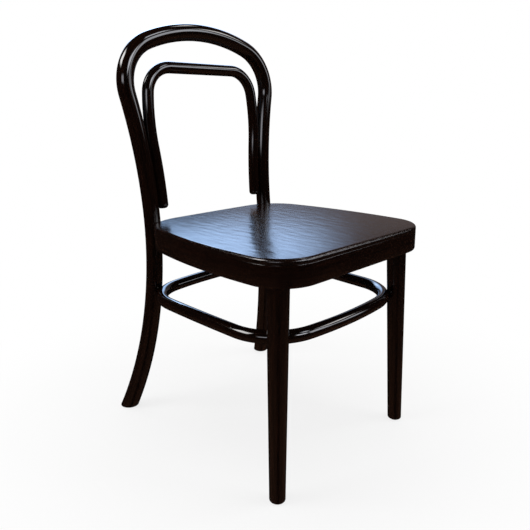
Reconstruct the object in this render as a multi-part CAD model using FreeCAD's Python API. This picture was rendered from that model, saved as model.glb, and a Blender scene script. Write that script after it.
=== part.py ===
import FreeCAD, Part
import math
import os

V = FreeCAD.Vector

# Bentwood bistro chair in millimetres, +Z up, the sitter faces -Y
# The origin is on the floor, midway between the seat's front and the back of the rear feet
# Left and right are the sitter's, so the left legs stand at +X

# Clearances
fit_gap = 0.15
glue_gap = 0.1

# Seat, as a squared outline whose four sides bow outwards
seat_height = 460.0
seat_front_y = -240.0
seat_rear_y = 207.0
seat_front_width = 420.0
seat_rear_width = 377.0
seat_front_bow = 1.0
seat_side_bow = 21.5
seat_rear_bow = 3.0
seat_front_corner = 79.0
seat_rear_corner = 96.0
panel_thickness = 10.0
panel_top_round = 6.0
panel_foot_round = 1.0
seat_ring_height = 40.0
seat_ring_wall = 20.0
seat_ring_top_round = 1.5
seat_ring_bottom_round = 4.0

# Outer hoop: crown, shoulders, uprights and rear legs bent from one rod
chair_height = 879.0
hoop_swell = 28.8
crown_radius = 366.0
shoulder_radius = 98.0
waist_rise = 13.0
waist_width = 335.0
waist_y = 208.5
back_rake = 3.9
rear_foot_spacing = 439.0
rear_foot_y = 286.0
hoop_diameter = 35.4
rear_foot_diameter = 39.0
foot_round = 2.0

# Inner hoop, lying in the plane of the back
inner_drop = 82.5
inner_swell = 11.8
inner_diameter = 25.0
inner_shoulder_radius = 60.0
inner_side_radius = 490.0
inner_end_rise = 24.5
inner_end_round = 8.0

# Front legs, turned with a straight taper
front_leg_top_spacing = 352.0
front_leg_top_y = -189.0
front_foot_spacing = 381.0
front_foot_y = -197.0
front_leg_top_diameter = 40.0
front_foot_diameter = 30.0
tenon_diameter = 22.0
tenon_length = 30.0
tenon_end_gap = 1.0
block_depth = 25.0

# Leg ring, a closed bent rod inside the four legs
leg_ring_height = 302.7
leg_ring_diameter = 25.0
leg_ring_front_y = -181.0
leg_ring_rear_y = 184.5
leg_ring_front_width = 380.0
leg_ring_rear_width = 400.0
leg_ring_front_bow = 21.0
leg_ring_side_bow = 4.0
leg_ring_rear_bow = 28.0
leg_ring_front_corner = 105.0
leg_ring_rear_corner = 98.0

# Wood screws, with a countersunk head under a plug where they show
screw_diameter = 4.5
screw_head_diameter = 8.5
screw_head_height = 3.0
screw_tip = 6.0
plug_diameter = 9.5
plug_depth = 5.0
hoop_screw_length = 32.0
hoop_screw_rises = (35.0, 92.0)
leg_ring_screw_length = 32.0
block_screw_length = 42.0
block_screw_spacing = 70.0
panel_screw_length = 16.0
panel_screw_height = 4.0

# Seat bolts through the rear legs
bolt_diameter = 8.0
bolt_head_diameter = 19.0
bolt_head_height = 4.0
bolt_drop = 20.0
bolt_end = 3.0
washer_diameter = 18.0
washer_thickness = 1.6
nut_width = 13.0
nut_height = 6.5

# Glides under the feet
glide_diameter = 23.0
glide_thickness = 2.0
glide_round = 0.6
nail_diameter = 2.5
nail_head_diameter = 6.0
nail_head_height = 0.8
nail_head_sink = 0.6
nail_length = 16.0

# Worked out from the above
hoop_r = hoop_diameter / 2
inner_r = inner_diameter / 2
leg_ring_r = leg_ring_diameter / 2
panel_bottom = seat_height - panel_thickness
ring_bottom = panel_bottom - seat_ring_height
bolt_height = panel_bottom - bolt_drop
waist_height = seat_height + waist_rise
inner_end_height = seat_height + inner_end_rise
rake = math.radians(back_rake)
rod_spacing = hoop_r + inner_r + glue_gap
screw_r = screw_diameter / 2
bolt_r = bolt_diameter / 2
reach = 30.0
up = V(0, 0, 1)
back_up = V(0, math.sin(rake), math.cos(rake))
waist = V(waist_width / 2, waist_y, waist_height)


def back_point(x, v):
    """A point of the back's plane: x across, v up along the plane from the waist."""
    return V(x, waist_y, waist_height) + back_up * v


def back_arc(centre, radius, start, end):
    """An arc in the back's plane between two angles."""
    at = [start, (start + end) / 2, end]
    points = [back_point(centre[0] + radius * math.cos(a), centre[1] + radius * math.sin(a)) for a in at]
    return Part.Arc(*points).toShape()


def mirrored(shape):
    return shape.mirror(V(0, 0, 0), V(1, 0, 0))


def both_sides(shape):
    return [shape, mirrored(shape)]


def placed(shape, point, direction):
    """Stand a shape made along +Z on a point, along a direction."""
    shape = shape.copy()
    shape.Placement = FreeCAD.Placement(point, FreeCAD.Rotation(up, direction))
    return shape


def rod(path, radius, start, tangent):
    profile = Part.Wire(Part.Circle(start, tangent, radius).toShape())
    return Part.Wire(path).makePipeShell([profile], True, False)


def slab(low, high):
    """A flat block between two heights, wider than the chair."""
    size = 4 * chair_height
    return Part.makeBox(size, size, high - low, V(-size / 2, -size / 2, low))


def edges_at(shape, height):
    """Edges that lie flat at one height."""
    flat = [e for e in shape.Edges if e.BoundBox.ZLength < 1e-4]
    return [e for e in flat if abs(e.BoundBox.ZMin - height) < 1e-4]


# Bowed outlines

def bow(start, end, height):
    """Centre and radius of a side bowed to its right by a height."""
    chord = end - start
    radius = (chord.Length ** 2 / 4 + height ** 2) / (2 * height)
    outwards = V(chord.y, -chord.x, 0).normalize()
    return (start + end) * 0.5 - outwards * (radius - height), radius


def corner_centre(before, after, radius, post):
    """Centre of the round corner that touches two bowed sides near a post."""
    reach_before = before[1] - radius
    reach_after = after[1] - radius
    between = after[0] - before[0]
    along = (reach_before ** 2 - reach_after ** 2 + between.Length ** 2) / (2 * between.Length)
    off = math.sqrt(reach_before ** 2 - along ** 2)
    way = between.normalize()
    across = V(-way.y, way.x, 0) * off
    found = [before[0] + way * along + across, before[0] + way * along - across]
    return min(found, key=lambda point: (point - post).Length)


def turned_arc(centre, radius, start, end):
    """An arc about a centre between two directions."""
    middle = (start + end).normalize()
    return Part.Arc(*[centre + way * radius for way in (start, middle, end)]).toShape()


def bowed_outline(front_y, rear_y, front_width, rear_width, bows, corners, height, offset=0.0):
    """A closed outline of tangent arcs, parallel at an offset: bowed sides and round corners."""
    half_front = front_width / 2
    half_rear = rear_width / 2
    flat = [(-half_front, front_y), (half_front, front_y), (half_rear, rear_y), (-half_rear, rear_y)]
    posts = [V(x, y, height) for x, y in flat]
    front_bow, side_bow, rear_bow = bows
    front_radius, rear_radius = corners
    heights = [front_bow, side_bow, rear_bow, side_bow]
    radii = [front_radius, front_radius, rear_radius, rear_radius]
    sides = [bow(posts[k], posts[(k + 1) % 4], heights[k]) for k in range(4)]
    centres = [corner_centre(sides[k - 1], sides[k], radii[k], posts[k]) for k in range(4)]
    edges = []
    for k in range(4):
        side, side_radius = sides[k]
        arriving = (centres[k] - sides[k - 1][0]).normalize()
        leaving = (centres[k] - side).normalize()
        ending = (centres[(k + 1) % 4] - side).normalize()
        edges.append(turned_arc(centres[k], radii[k] + offset, arriving, leaving))
        edges.append(turned_arc(side, side_radius + offset, leaving, ending))
    return Part.Wire(edges)


def seat_outline(height, offset=0.0):
    bows = (seat_front_bow, seat_side_bow, seat_rear_bow)
    corners = (seat_front_corner, seat_rear_corner)
    return bowed_outline(seat_front_y, seat_rear_y, seat_front_width, seat_rear_width,
                         bows, corners, height, offset)


def seat_block(low, high, offset=0.0):
    """The seat's outline as a block, grown or shrunk by an offset."""
    return Part.Face(seat_outline(low, offset)).extrude(V(0, 0, high - low))


def leg_ring_path():
    bows = (leg_ring_front_bow, leg_ring_side_bow, leg_ring_rear_bow)
    corners = (leg_ring_front_corner, leg_ring_rear_corner)
    return bowed_outline(leg_ring_front_y, leg_ring_rear_y, leg_ring_front_width, leg_ring_rear_width,
                         bows, corners, leg_ring_height)


def leg_ring_rod(path, radius):
    first = path.OrderedEdges[0]
    start = first.valueAt(first.FirstParameter)
    tangent = first.tangentAt(first.FirstParameter)
    profile = Part.Wire(Part.Circle(start, tangent, radius).toShape())
    return path.makePipeShell([profile], True, False)


# Outer hoop

def hoop_layout():
    """Centres and angles of the tangent arcs of the back, in its own plane."""
    crown_v = (chair_height - hoop_r - waist_height) / math.cos(rake)
    half = waist.x + hoop_swell
    lean = math.asin((half - shoulder_radius) / (crown_radius - shoulder_radius))
    crown = (0.0, crown_v - crown_radius)
    arm = crown_radius - shoulder_radius
    shoulder = (arm * math.sin(lean), crown[1] + arm * math.cos(lean))
    dx = waist.x - shoulder[0]
    upright_radius = (dx ** 2 + shoulder[1] ** 2 - shoulder_radius ** 2) / (2 * (shoulder_radius - dx))
    upright = (waist.x + upright_radius, 0.0)
    turn = math.atan2(shoulder[1], shoulder[0] - upright[0])
    return crown, shoulder, upright, upright_radius, lean, turn


def hoop_arch(radius):
    """The arch from waist to waist, over the crown."""
    crown, shoulder, upright, upright_radius, lean, turn = hoop_layout()
    quarter = math.pi / 2
    right = [
        back_arc(upright, upright_radius, math.pi, turn),
        back_arc(shoulder, shoulder_radius, turn - math.pi, quarter - lean),
    ]
    over = back_arc(crown, crown_radius, quarter - lean, quarter + lean)
    left = [mirrored(edge) for edge in reversed(right)]
    return rod(right + [over] + left, radius, waist, back_up)


def rear_leg_layout():
    """The rear leg's single arc: its radius, the way it bends and the angle at the floor."""
    foot = V(rear_foot_spacing / 2, rear_foot_y, 0) - waist
    drop = -foot.dot(back_up)
    bend = foot + back_up * drop
    radius = (bend.Length ** 2 + drop ** 2) / (2 * bend.Length)
    angle = math.atan2(drop, radius - bend.Length)
    return radius, bend.normalize(), angle


def rear_leg_point(angle):
    radius, bend, _ = rear_leg_layout()
    return waist + bend * (radius * (1 - math.cos(angle))) - back_up * (radius * math.sin(angle))


def rear_leg_centre(height):
    """Where the left rear leg's centre line crosses a height."""
    low, high = 0.0, rear_leg_layout()[2]
    while high - low > 1e-9:
        middle = (low + high) / 2
        if rear_leg_point(middle).z > height:
            low = middle
        else:
            high = middle
    return rear_leg_point(low)


def rear_leg():
    """The tapered leg below the waist, run on past the floor to be cut level."""
    radius, bend, angle = rear_leg_layout()
    end = angle + reach / radius
    path = Part.Wire(Part.Arc(rear_leg_point(0), rear_leg_point(end / 2), rear_leg_point(end)).toShape())
    tangent = bend * math.sin(end) - back_up * math.cos(end)
    foot_r = hoop_r + (rear_foot_diameter / 2 - hoop_r) * end / angle
    top = Part.Wire(Part.Circle(waist, back_up * -1, hoop_r).toShape())
    foot = Part.Wire(Part.Circle(rear_leg_point(end), tangent, foot_r).toShape())
    return path.makePipeShell([top, foot], True, False)


def outer_hoop():
    leg = rear_leg().cut(slab(-2 * reach, glide_thickness))
    leg = leg.makeFillet(foot_round, edges_at(leg, glide_thickness))
    return hoop_arch(hoop_r).fuse(both_sides(leg)).removeSplitter()


# Inner hoop

def inner_layout():
    """Arcs of the inner hoop: beside the upright, along the side and round the shoulder."""
    _, _, upright, upright_radius, _, _ = hoop_layout()
    beside = upright_radius + rod_spacing
    half = waist.x - rod_spacing + inner_swell
    side_x = half - inner_side_radius
    span = inner_side_radius + beside
    side = (side_x, math.sqrt(span ** 2 - (upright[0] - side_x) ** 2))
    top_v = (chair_height - inner_drop - inner_r - waist_height) / math.cos(rake)
    shoulder_v = top_v - inner_shoulder_radius
    arm = inner_side_radius - inner_shoulder_radius
    shoulder = (side_x + math.sqrt(arm ** 2 - (shoulder_v - side[1]) ** 2), shoulder_v)
    part_angle = math.atan2(side[1], side[0] - upright[0])
    shoulder_angle = math.atan2(shoulder[1] - side[1], shoulder[0] - side[0])
    return upright, beside, side, shoulder, top_v, part_angle, shoulder_angle


def beside_angle(height):
    """Angle on the arc beside the upright at a height."""
    _, beside, *_ = inner_layout()
    return math.pi - math.asin((height - waist_height) / math.cos(rake) / beside)


def inner_rod():
    upright, beside, side, shoulder, top_v, part_angle, shoulder_angle = inner_layout()
    start = beside_angle(inner_end_height)
    right = [
        back_arc(upright, beside, start, part_angle),
        back_arc(side, inner_side_radius, part_angle - math.pi, shoulder_angle),
        back_arc(shoulder, inner_shoulder_radius, shoulder_angle, math.pi / 2),
    ]
    bar = Part.makeLine(back_point(shoulder[0], top_v), back_point(-shoulder[0], top_v))
    left = [mirrored(edge) for edge in reversed(right)]
    end = back_point(upright[0] + beside * math.cos(start), beside * math.sin(start))
    tangent = back_up * -math.cos(start) + V(math.sin(start), 0, 0)
    hoop = rod(right + [bar] + left, inner_r, end, tangent)
    rims = [e for e in hoop.Edges if e.BoundBox.ZMax < inner_end_height + inner_r and e.Length > inner_r]
    rims = [e for e in rims if e.Closed]
    return hoop.makeFillet(inner_end_round, rims)


# Fasteners, made along +Z with the head at the origin

def wood_screw(length, grow=0.0):
    r = screw_r + grow
    head = screw_head_diameter / 2 + grow
    points = [
        V(0, 0, -grow), V(head, 0, -grow), V(r, 0, screw_head_height + grow),
        V(r, 0, length - screw_tip), V(0, 0, length + grow), V(0, 0, -grow),
    ]
    return Part.Face(Part.makePolygon(points)).revolve(V(0, 0, 0), up, 360)


def cylinder(diameter, length, start=0.0):
    return Part.makeCylinder(diameter / 2, length, V(0, 0, start))


def bolt_grip():
    """Length of wood that a seat bolt clamps, from the head's seat to the washer's."""
    centre, outline_point, out = seat_bolt_line()
    return (centre - outline_point).dot(out) + bolt_head_seat() + seat_ring_wall - washer_seat_depth()


def bolt_head_seat():
    """Distance of the head's flat seat from the leg's centre line."""
    return math.sqrt(hoop_r ** 2 - (bolt_head_diameter / 2 + fit_gap) ** 2)


def washer_seat_depth():
    """Depth of the flat for the washer in the ring's hollow corner."""
    hollow = seat_rear_corner - seat_ring_wall
    rim = washer_diameter / 2 + fit_gap
    return hollow - math.sqrt(hollow ** 2 - rim ** 2)


def seat_bolt_line():
    """The left rear leg's centre at the bolt, the nearest point of the seat and the way out."""
    centre = rear_leg_centre(bolt_height)
    point = seat_outline(bolt_height).distToShape(Part.Vertex(centre))[1][0][0]
    return centre, point, (centre - point).normalize()


def domed_bolt():
    """A round-headed bolt with its head at the origin and its shank along +Z."""
    half = bolt_head_diameter / 2
    shank = bolt_grip() + washer_thickness + nut_height + bolt_end
    crown = V(0, 0, -bolt_head_height)
    dome_r = (half ** 2 + bolt_head_height ** 2) / (2 * bolt_head_height)
    turn = math.asin(half / dome_r) / 2
    shoulder = crown + V(dome_r * math.sin(turn), 0, dome_r * (1 - math.cos(turn)))
    dome = Part.Arc(crown, shoulder, V(half, 0, 0)).toShape()
    rest = Part.makePolygon([V(half, 0, 0), V(bolt_r, 0, 0), V(bolt_r, 0, shank), V(0, 0, shank), crown])
    return Part.Face(Part.Wire([dome] + rest.Edges)).revolve(V(0, 0, 0), up, 360)


def hexagon(width, height):
    radius = width / math.sqrt(3)
    turns = [math.radians(60 * k) for k in range(7)]
    points = [V(radius * math.cos(a), radius * math.sin(a), 0) for a in turns]
    return Part.Face(Part.makePolygon(points)).extrude(V(0, 0, height))


# Seat bolts, washers and nuts

def seat_bolt_set():
    centre, _, out = seat_bolt_line()
    seat = centre + out * bolt_head_seat()
    inwards = out * -1
    grip = bolt_grip()
    bore = cylinder(bolt_diameter, 4 * nut_height, -nut_height)
    bolt = placed(domed_bolt(), seat, inwards)
    washer = placed(cylinder(washer_diameter, washer_thickness).cut(bore), seat + inwards * grip, inwards)
    nut_seat = seat + inwards * (grip + washer_thickness)
    nut = placed(hexagon(nut_width, nut_height).cut(bore), nut_seat, inwards)
    hole = placed(cylinder(bolt_diameter + 2 * fit_gap, grip + 2 * reach, -reach), seat, inwards)
    head_seat = placed(cylinder(bolt_head_diameter + 2 * fit_gap, reach, -reach), seat, inwards)
    washer_seat = placed(cylinder(washer_diameter + 2 * fit_gap, reach), seat + inwards * grip, inwards)
    return bolt, washer, nut, hole, head_seat, washer_seat


# Screws and plugs between the rods

def hoop_screw_lines():
    """Start and direction of the screws from the inner hoop's face into the upright."""
    upright, beside, *_ = inner_layout()
    lines = []
    for rise in hoop_screw_rises:
        angle = beside_angle(inner_end_height + rise)
        centre = back_point(upright[0] + beside * math.cos(angle), beside * math.sin(angle))
        out = V(-math.cos(angle), 0, 0) - back_up * math.sin(angle)
        lines.append((centre - out * inner_r, out))
    return lines


def leg_ring_screw_lines(path):
    """Start and direction of the screws from the leg ring's inner face into the left legs."""
    foot, axis = front_leg_axis()
    front = foot + axis * (leg_ring_height / axis.z)
    lines = []
    for centre in (front, rear_leg_centre(leg_ring_height)):
        point = path.distToShape(Part.Vertex(centre))[1][0][0]
        out = (centre - point).normalize()
        lines.append((point - out * leg_ring_r, out))
    return lines


def plugged_screws(lines, length, carrier):
    """Screws sunk under plugs that end flush with the rod that carries them."""
    screws, plugs, holes = [], [], []
    for start, out in lines:
        head = start + out * plug_depth
        screws += both_sides(placed(wood_screw(length), head, out))
        holes += both_sides(placed(wood_screw(length, fit_gap), head, out))
        plug = placed(cylinder(plug_diameter, reach - glue_gap, -reach), head, out)
        plugs += both_sides(plug.common(carrier))
        holes += both_sides(placed(cylinder(plug_diameter + 2 * fit_gap, reach, -reach), head, out))
    return screws, plugs, holes


# Front legs and corner blocks

def front_leg_axis():
    foot = V(front_foot_spacing / 2, front_foot_y, 0)
    top = V(front_leg_top_spacing / 2, front_leg_top_y, ring_bottom)
    return foot, (top - foot).normalize()


def front_leg():
    """The left front leg with its tenon."""
    foot, axis = front_leg_axis()
    length = ring_bottom / axis.z
    growth = (front_leg_top_diameter - front_foot_diameter) / 2 / length
    low_r = front_foot_diameter / 2 - growth * reach
    high_r = front_leg_top_diameter / 2 + growth * reach
    leg = Part.makeCone(low_r, high_r, length + 2 * reach, foot - axis * reach, axis)
    leg = leg.common(slab(glide_thickness, ring_bottom))
    leg = leg.makeFillet(foot_round, edges_at(leg, glide_thickness))
    tenon = Part.makeCylinder(tenon_diameter / 2, tenon_length + reach, foot + axis * (length - reach), axis)
    return leg.fuse(tenon).removeSplitter()


def tenon_hole():
    foot, axis = front_leg_axis()
    start = foot + axis * (ring_bottom / axis.z - reach)
    length = tenon_length + tenon_end_gap + reach
    return Part.makeCylinder(tenon_diameter / 2 + fit_gap, length, start, axis)


def front_corner_way():
    """The diagonal towards the left front corner."""
    return V(1, -1, 0).normalize()


def corner_block():
    """The block in the left front corner that takes the leg's tenon."""
    _, axis = front_leg_axis()
    way = front_corner_way()
    top = V(front_leg_top_spacing / 2, front_leg_top_y, ring_bottom)
    size = seat_front_width
    cutter = placed(Part.makeBox(size, size, size, V(-size / 2, -size / 2, 0)), top - way * block_depth, way)
    block = seat_block(ring_bottom, panel_bottom, -seat_ring_wall - glue_gap).common(cutter)
    return block.cut(tenon_hole())


def block_screw_lines():
    """Screws from the block's long face through it into the seat ring."""
    way = front_corner_way()
    across = V(-way.y, way.x, 0)
    middle = V(front_leg_top_spacing / 2, front_leg_top_y, (ring_bottom + panel_bottom) / 2)
    face = middle - way * block_depth
    return [(face + across * (side * block_screw_spacing / 2), way) for side in (-1, 1)]


def panel_screw_line():
    """A screw from a pocket in the block up into the panel, behind the tenon."""
    way = front_corner_way()
    head_z = panel_bottom + panel_screw_height - panel_screw_length
    start = V(front_leg_top_spacing / 2, front_leg_top_y, head_z)
    return start - way * ((block_depth + tenon_diameter / 2 + fit_gap) / 2), up


# Glides

def glide_points():
    foot, axis = front_leg_axis()
    front = foot + axis * (glide_thickness / axis.z)
    rear = rear_leg_centre(glide_thickness)
    return [V(p.x, p.y, 0) for p in (front, rear)]


def glide():
    """A glide with a dished nail hole, standing on the floor."""
    disc = cylinder(glide_diameter, glide_thickness)
    disc = disc.makeFillet(glide_round, edges_at(disc, 0.0))
    return disc.cut(glide_nail(fit_gap))


def glide_nail(grow=0.0):
    """A nail whose head lies sunk in the glide."""
    head = cylinder(nail_head_diameter + 2 * grow, nail_head_height + grow, nail_head_sink - grow)
    shank = cylinder(nail_diameter + 2 * grow, nail_length + grow, nail_head_sink)
    return head.fuse(shank).removeSplitter()


# Assembly

def seat_ring():
    ring = seat_block(ring_bottom, panel_bottom).cut(seat_block(ring_bottom, panel_bottom, -seat_ring_wall))
    ring = ring.makeFillet(seat_ring_bottom_round, edges_at(ring, ring_bottom))
    return ring.makeFillet(seat_ring_top_round, edges_at(ring, panel_bottom))


def seat_panel():
    panel = seat_block(panel_bottom, seat_height)
    panel = panel.makeFillet(panel_top_round, edges_at(panel, seat_height))
    return panel.makeFillet(panel_foot_round, edges_at(panel, panel_bottom))


def build():
    parts = {}
    path = leg_ring_path()
    ring_rod = leg_ring_rod(path, leg_ring_r)
    ring_space = leg_ring_rod(path, leg_ring_r + fit_gap)
    inner = inner_rod()
    bolt, washer, nut, bolt_hole, head_seat, washer_seat = seat_bolt_set()
    hoop_lines = hoop_screw_lines()
    hoop_screws, hoop_plugs, hoop_holes = plugged_screws(hoop_lines, hoop_screw_length, inner)
    ring_lines = leg_ring_screw_lines(path)
    ring_screws, ring_plugs, ring_holes = plugged_screws(ring_lines, leg_ring_screw_length, ring_rod)
    block_lines = block_screw_lines()
    block_screws = [placed(wood_screw(block_screw_length), *line) for line in block_lines]
    block_holes = [placed(wood_screw(block_screw_length, fit_gap), *line) for line in block_lines]
    panel_screw = placed(wood_screw(panel_screw_length), *panel_screw_line())
    panel_hole = placed(wood_screw(panel_screw_length, fit_gap), *panel_screw_line())
    pocket_start = panel_screw_line()[0] - up * seat_ring_height
    pocket = placed(cylinder(plug_diameter, seat_ring_height), pocket_start, up)
    nails = [placed(glide_nail(), p, up) for p in glide_points()]
    nail_holes = [placed(glide_nail(fit_gap), p, up) for p in glide_points()]

    seat_space = seat_block(ring_bottom - fit_gap, seat_height + fit_gap, fit_gap)
    hoop_cuts = [seat_space, ring_space] + hoop_holes + ring_holes
    hoop_cuts += both_sides(bolt_hole) + both_sides(head_seat) + both_sides(nail_holes[1])
    parts["back_hoop"] = outer_hoop().cut(hoop_cuts)
    parts["inner_hoop"] = inner.cut(hoop_holes)
    parts["leg_ring"] = ring_rod.cut(ring_holes)

    block_tools = block_holes + [panel_hole, pocket]
    ring_cuts = both_sides(bolt_hole) + both_sides(washer_seat)
    for hole in block_holes:
        ring_cuts += both_sides(hole)
    parts["seat_ring"] = seat_ring().cut(ring_cuts)
    parts["seat_panel"] = seat_panel().cut(both_sides(panel_hole))

    leg = front_leg().cut([ring_space, nail_holes[0]] + ring_holes)
    block = corner_block().cut(block_tools)
    for name, shape in (("front_leg", leg), ("corner_block", block)):
        parts[name + "_left"], parts[name + "_right"] = both_sides(shape)

    groups = {
        "seat_bolts": both_sides(bolt),
        "seat_bolt_washers": both_sides(washer),
        "seat_bolt_nuts": both_sides(nut),
        "hoop_screws": hoop_screws,
        "hoop_screw_plugs": hoop_plugs,
        "leg_ring_screws": ring_screws,
        "leg_ring_screw_plugs": ring_plugs,
        "corner_block_screws": [s for screw in block_screws for s in both_sides(screw)],
        "panel_screws": both_sides(panel_screw),
        "foot_glides": [s for p in glide_points() for s in both_sides(placed(glide(), p, up))],
        "glide_nails": [s for nail in nails for s in both_sides(nail)],
    }
    for name, solids in groups.items():
        parts[name] = Part.makeCompound(solids)
    return parts


def centred(parts):
    """Move the origin to the middle of the chair's footprint."""
    boxes = [parts[name].optimalBoundingBox(False, False) for name in ("seat_panel", "back_hoop")]
    shift = V(0, -(boxes[0].YMin + boxes[1].YMax) / 2, 0)
    for shape in parts.values():
        shape.translate(shift)
    return parts


os.makedirs("parts", exist_ok=True)
for name, shape in centred(build()).items():
    shape.exportStep("parts/" + name + ".step")
    print(name, len(shape.Solids), round(shape.Volume), shape.isValid())
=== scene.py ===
import math

import bmesh
import bpy
from mathutils import Matrix, Vector


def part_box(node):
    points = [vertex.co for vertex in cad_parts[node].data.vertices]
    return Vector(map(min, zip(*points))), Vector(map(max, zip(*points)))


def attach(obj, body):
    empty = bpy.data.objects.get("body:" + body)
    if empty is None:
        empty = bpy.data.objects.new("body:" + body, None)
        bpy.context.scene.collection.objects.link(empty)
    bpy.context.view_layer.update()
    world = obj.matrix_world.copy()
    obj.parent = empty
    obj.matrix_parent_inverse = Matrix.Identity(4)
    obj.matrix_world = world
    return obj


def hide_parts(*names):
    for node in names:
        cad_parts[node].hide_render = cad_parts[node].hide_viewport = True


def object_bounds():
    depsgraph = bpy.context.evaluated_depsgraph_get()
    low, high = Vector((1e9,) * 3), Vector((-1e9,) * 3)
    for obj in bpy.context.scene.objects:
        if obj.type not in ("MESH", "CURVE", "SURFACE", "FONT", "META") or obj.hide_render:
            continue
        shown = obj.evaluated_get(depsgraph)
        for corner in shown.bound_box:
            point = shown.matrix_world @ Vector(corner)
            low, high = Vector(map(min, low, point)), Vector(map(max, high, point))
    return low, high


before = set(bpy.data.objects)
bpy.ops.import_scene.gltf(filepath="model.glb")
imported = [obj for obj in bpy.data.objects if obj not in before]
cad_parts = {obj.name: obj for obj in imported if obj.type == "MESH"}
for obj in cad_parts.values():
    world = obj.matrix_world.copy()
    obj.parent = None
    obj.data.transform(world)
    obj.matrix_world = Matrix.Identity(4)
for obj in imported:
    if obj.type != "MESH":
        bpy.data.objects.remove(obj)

bl_info = {
    "name": "Bentwood bistro chair",
    "version": (1, 0, 0),
    "blender": (4, 5, 0),
    "location": "3D View > Sidebar > Chair",
    "description": "Dresses the frame of a bentwood bistro chair and sets up its studio",
    "category": "Object",
}

MM = 0.001
BODY = "root"
CAD_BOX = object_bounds()

# Steps of the meshes: the longest in metres, the largest turns in radians, and plain counts
BEND_STEP = 4.0 * MM
LEG_STEP = 5.0 * MM
OUTLINE_STEP = 6.0 * MM
BAR_STEP = 8.0 * MM
BEND_TURN = math.radians(3.0)
OUTLINE_TURN = math.radians(2.0)
NOSE_STEPS = 8
FRONT_LEG_STEPS = 40
ROD_SIDES = 64
# Edges that turn by more than this stay sharp
SHARP_TURN = math.radians(35.0)

# The origin is midway between the seat's front edge and the rear feet, so it lies behind the seat's middle
SEAT_LOW, SEAT_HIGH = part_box("seat_panel")
RING_LOW, RING_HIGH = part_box("seat_ring")
HOOP_LOW, HOOP_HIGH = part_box("back_hoop")
INNER_LOW, INNER_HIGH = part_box("inner_hoop")
LEG_RING_LOW, LEG_RING_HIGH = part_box("leg_ring")
GLIDE_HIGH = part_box("foot_glides")[1]


# Properties

def linear(code):
    """The linear colour of an sRGB hex code."""
    values = [int(code[k:k + 2], 16) / 255 for k in (1, 3, 5)]
    return [v / 12.92 if v <= 0.04045 else ((v + 0.055) / 1.055) ** 2.4 for v in values] + [1.0]


def length(name, description, millimetres):
    return bpy.props.FloatProperty(
        name=name, description=description, default=millimetres * MM, min=0.0, unit="LENGTH")


def turn(name, description, degrees):
    return bpy.props.FloatProperty(
        name=name, description=description, default=math.radians(degrees), unit="ROTATION")


def colour(name, description, code):
    return bpy.props.FloatVectorProperty(
        name=name, description=description, default=linear(code), min=0.0, max=1.0, size=4, subtype="COLOR")


def amount(name, description, default):
    return bpy.props.FloatProperty(name=name, description=description, default=default, min=0.0, max=1.0)


class SeatSizes(bpy.types.PropertyGroup):
    front_width: length("Front width", "Width of the squared outline at the front", 420.0)
    rear_width: length("Rear width", "Width of the squared outline at the rear", 377.0)
    front_bow: length("Front bow", "How far the front edge bows outwards", 1.0)
    side_bow: length("Side bow", "How far the side edges bow outwards", 21.5)
    rear_bow: length("Rear bow", "How far the rear edge bows outwards", 3.0)
    front_corner: length("Front corner", "Radius of the front corners", 79.0)
    rear_corner: length("Rear corner", "Radius of the rear corners", 96.0)
    panel_top_round: length("Panel top round", "Rounding of the panel's upper edge", 6.0)
    panel_foot_round: length("Panel foot round", "Rounding of the panel's lower edge", 0.8)
    ring_wall: length("Ring wall", "Thickness of the bent seat ring", 20.0)
    ring_top_round: length("Ring top round", "Rounding of the ring's upper edge", 0.8)
    ring_bottom_round: length("Ring bottom round", "Rounding of the ring's lower edges", 4.0)


class BackSizes(bpy.types.PropertyGroup):
    rod: length("Rod", "Diameter of the outer hoop's rod", 35.4)
    foot: length("Foot", "Diameter of the rear leg at the floor", 39.0)
    foot_round: length("Foot round", "Rounding of the foot's rim", 2.0)
    crown_radius: length("Crown radius", "Radius of the hoop's crown", 366.0)
    shoulder_radius: length("Shoulder radius", "Radius of the hoop's shoulders", 98.0)
    swell: length("Swell", "How far the hoop's shoulders reach beyond the waist on each side", 28.8)
    waist_width: length("Waist width", "Spacing of the uprights at the waist", 335.0)
    waist_rise: length("Waist rise", "Height of the waist above the seat", 13.0)
    waist_back: length("Waist back", "Distance of the waist behind the seat's squared front", 448.5)
    foot_spacing: length("Foot spacing", "Spacing of the rear feet", 439.0)
    foot_back: length("Foot back", "Distance of the rear feet behind the seat's squared front", 526.0)
    rake: turn("Rake", "Backward lean of the back", 3.9)
    inner_rod: length("Inner rod", "Diameter of the inner hoop's rod", 25.0)
    inner_drop: length("Inner drop", "Distance of the inner hoop below the crown", 82.5)
    inner_swell: length("Inner swell", "How far the inner hoop swells beyond its ends on each side", 11.8)
    inner_shoulder: length("Inner shoulder", "Radius of the inner hoop's shoulders", 60.0)
    inner_side: length("Inner side", "Radius of the inner hoop's sides", 490.0)
    inner_rise: length("Inner rise", "Height of the inner hoop's ends above the seat", 24.5)
    inner_round: length("Inner end round", "Rounding of the inner hoop's ends", 8.0)
    glue: length("Glue line", "Gap between the rods where they are glued", 0.1)


class LegSizes(bpy.types.PropertyGroup):
    top_spacing: length("Top spacing", "Spacing of the front legs under the seat", 352.0)
    top_back: length("Top back", "Distance of the legs' tops behind the seat's squared front", 51.0)
    foot_spacing: length("Foot spacing", "Spacing of the front feet", 381.0)
    foot_back: length("Foot back", "Distance of the front feet behind the seat's squared front", 43.0)
    top: length("Top diameter", "Diameter of the front legs under the seat", 40.0)
    foot: length("Foot diameter", "Diameter of the front legs at the floor", 30.0)


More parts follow.
